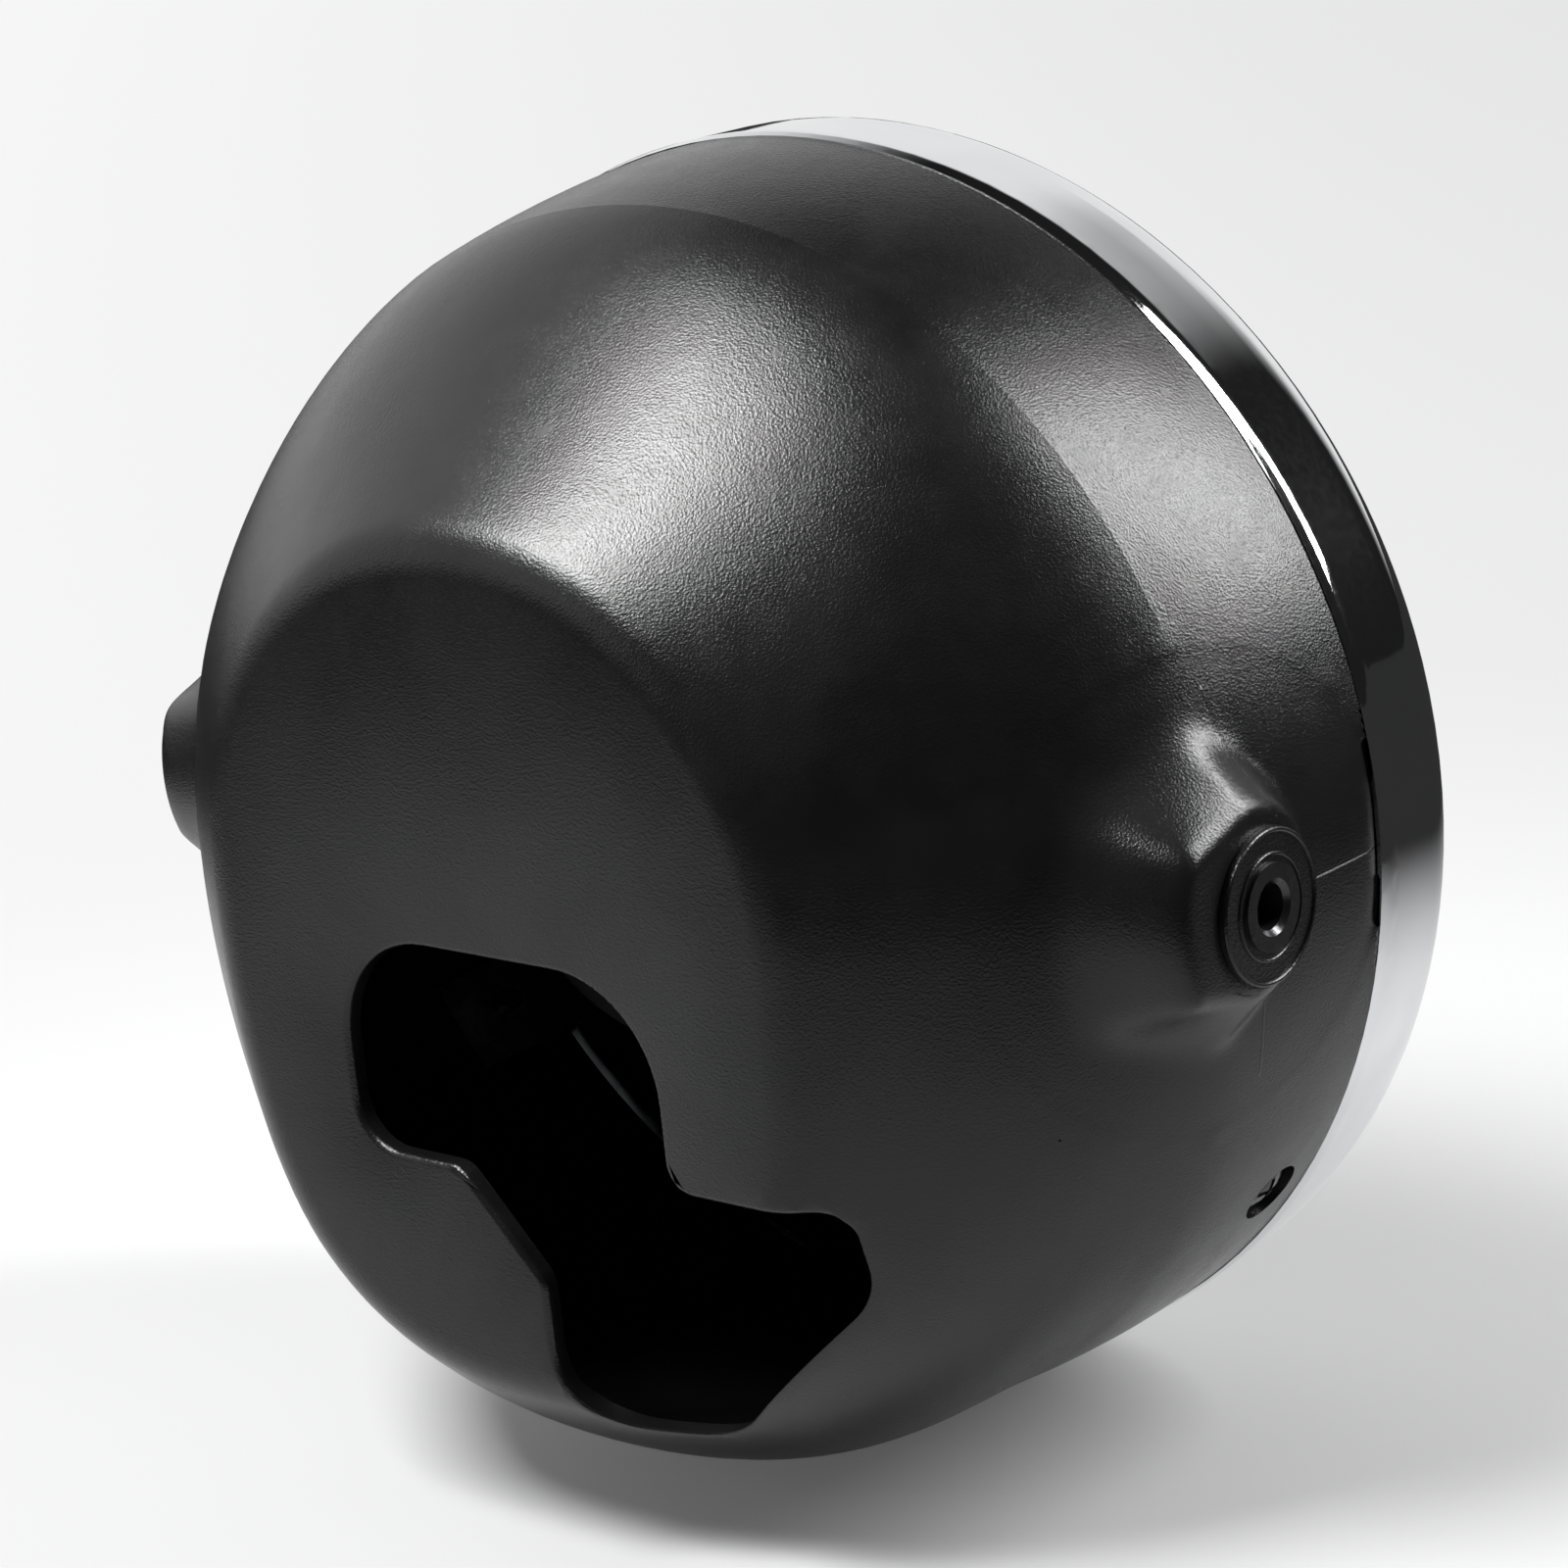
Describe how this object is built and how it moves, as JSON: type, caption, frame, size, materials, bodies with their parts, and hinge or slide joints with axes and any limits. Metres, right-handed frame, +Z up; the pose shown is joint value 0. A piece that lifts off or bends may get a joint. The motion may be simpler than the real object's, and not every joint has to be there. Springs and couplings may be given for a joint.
{
  "type": "round motorcycle headlight",
  "caption": "Round motorcycle headlight: black moulded bucket with threaded side mounts and a wiring opening, chrome trim ring, lens, reflector and bulb.",
  "frame": {"origin": "on the lamp's axis, halfway between the two side mounts", "axes": "+Y the way the beam goes, +Z up, +X to the right seen from behind; the side mounts lie on X"},
  "size_m": [0.2062, 0.123, 0.2],
  "materials": {
    "bucket_plastic": "black, fine leather grain, satin",
    "ring_chrome": "bright plated, polished",
    "plated_steel": "zinc plated",
    "retainer_steel": "black gloss paint",
    "black_screw": "black oxide, glossy",
    "black_bush": "black, glossy, bright edge",
    "black_rubber": "satin",
    "lens_glass": "clear, polished",
    "bulb_glass": "clear",
    "reflector_mirror": "mirror finish inside, black gloss outside",
    "bulb_metal": "bright steel",
    "brass_blade": "plain",
    "bulb_ceramic": "off-white insulator",
    "spring_steel": "drawn wire"
  },
  "bodies": {
    "root": {"bulb_base": "bulb_metal", "bulb_capsule": "bulb_glass", "bulb_insulator": "bulb_ceramic", "bulb_seat": "plated_steel", "bulb_spring_clip": "spring_steel", "bulb_terminals": "brass_blade", "dust_boot": "black_rubber", "filament_cage": "bulb_metal", "headlamp_lens": "lens_glass", "left_mount_bush": "black_bush", "left_ring_bracket": "plated_steel", "lens_seal": "black_rubber", "position_lamp_bulb": "bulb_glass", "position_lamp_holder": "black_rubber", "rear_shell": "bucket_plastic", "reflector_bowl": "reflector_mirror", "retaining_ring": "retainer_steel", "retaining_screws": "plated_steel", "right_mount_bush": "black_bush", "right_ring_bracket": "plated_steel", "ring_hook": "plated_steel", "ring_lugs": "plated_steel", "ring_nuts": "plated_steel", "ring_screws": "black_screw", "seat_rivets": "plated_steel", "trim_ring": "ring_chrome"}
  },
  "joints": []
}
